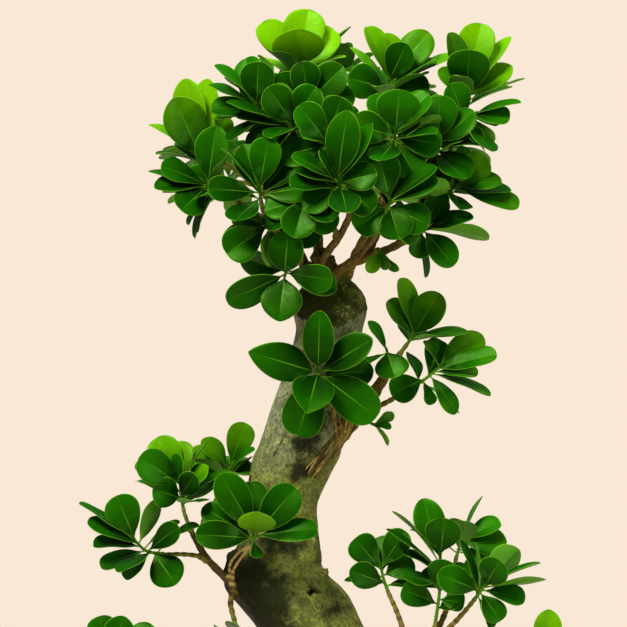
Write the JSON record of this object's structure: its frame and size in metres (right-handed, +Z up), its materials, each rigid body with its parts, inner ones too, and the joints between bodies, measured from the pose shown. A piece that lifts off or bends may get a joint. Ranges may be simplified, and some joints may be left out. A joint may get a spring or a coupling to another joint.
{
  "type": "bonsai tree in a pot",
  "caption": "Small-leaved fig bonsai with a curved grey-green trunk, grafted branches and glossy leaf rosettes, standing in a plain oval pot of soil.",
  "frame": {"origin": "centre of the pot's flat base", "axes": "+Z up the tree, -Y towards the tree's front, +X to its right as seen from the front, along the oval pot's long side"},
  "size_m": [0.4487, 0.2937, 0.8069],
  "materials": {
    "pot_glaze": "satin",
    "screen_plastic": "matte",
    "soil": "matte",
    "trunk_bark": "matte",
    "branch_bark": "matte",
    "leaf": "satin"
  },
  "bodies": {
    "root": {"branch_crown_back_left": "branch_bark", "branch_crown_back_right": "branch_bark", "branch_crown_centre": "branch_bark", "branch_crown_left": "branch_bark", "branch_crown_right": "branch_bark", "branch_crown_up": "branch_bark", "branch_left": "branch_bark", "branch_lower_left": "branch_bark", "branch_lower_right": "branch_bark", "branch_right_mid": "branch_bark", "drain_screen_left": "screen_plastic", "drain_screen_right": "screen_plastic", "pot": "pot_glaze", "shoot_back_centre": "leaf", "shoot_back_low_left": "leaf", "shoot_back_low_right": "leaf", "shoot_back_side_left": "leaf", "shoot_back_side_right": "leaf", "shoot_back_top": "leaf", "shoot_back_upper_left": "leaf", "shoot_back_upper_right": "leaf", "shoot_centre_front": "leaf", "shoot_centre_low": "leaf", "shoot_centre_upper": "leaf", "shoot_front": "leaf", "shoot_hanging": "leaf", "shoot_inner_left": "leaf", "shoot_inner_right": "leaf", "shoot_left_front": "leaf", "shoot_left_front_low": "leaf", "shoot_left_inner": "leaf", "shoot_left_low": "leaf", "shoot_left_outer": "leaf", "shoot_left_side": "leaf", "shoot_left_tip": "leaf", "shoot_left_under": "leaf", "shoot_left_upper": "leaf", "shoot_low_left_far": "leaf", "shoot_low_right_back": "leaf", "shoot_low_right_far": "leaf", "shoot_low_right_middle": "leaf", "shoot_low_right_near": "leaf", "shoot_low_right_outer": "leaf", "shoot_middle_front": "leaf", "shoot_peak_front": "leaf", "shoot_peak_left": "leaf", "shoot_peak_middle": "leaf", "shoot_peak_right": "leaf", "shoot_right_front": "leaf", "shoot_right_low": "leaf", "shoot_right_mid_low": "leaf", "shoot_right_mid_near": "leaf", "shoot_right_mid_outer": "leaf", "shoot_right_mid_upper": "leaf", "shoot_right_side": "leaf", "shoot_right_upper": "leaf", "shoot_under": "leaf", "shoot_upper_left": "leaf", "soil": "soil", "trunk": "trunk_bark"}
  },
  "joints": []
}
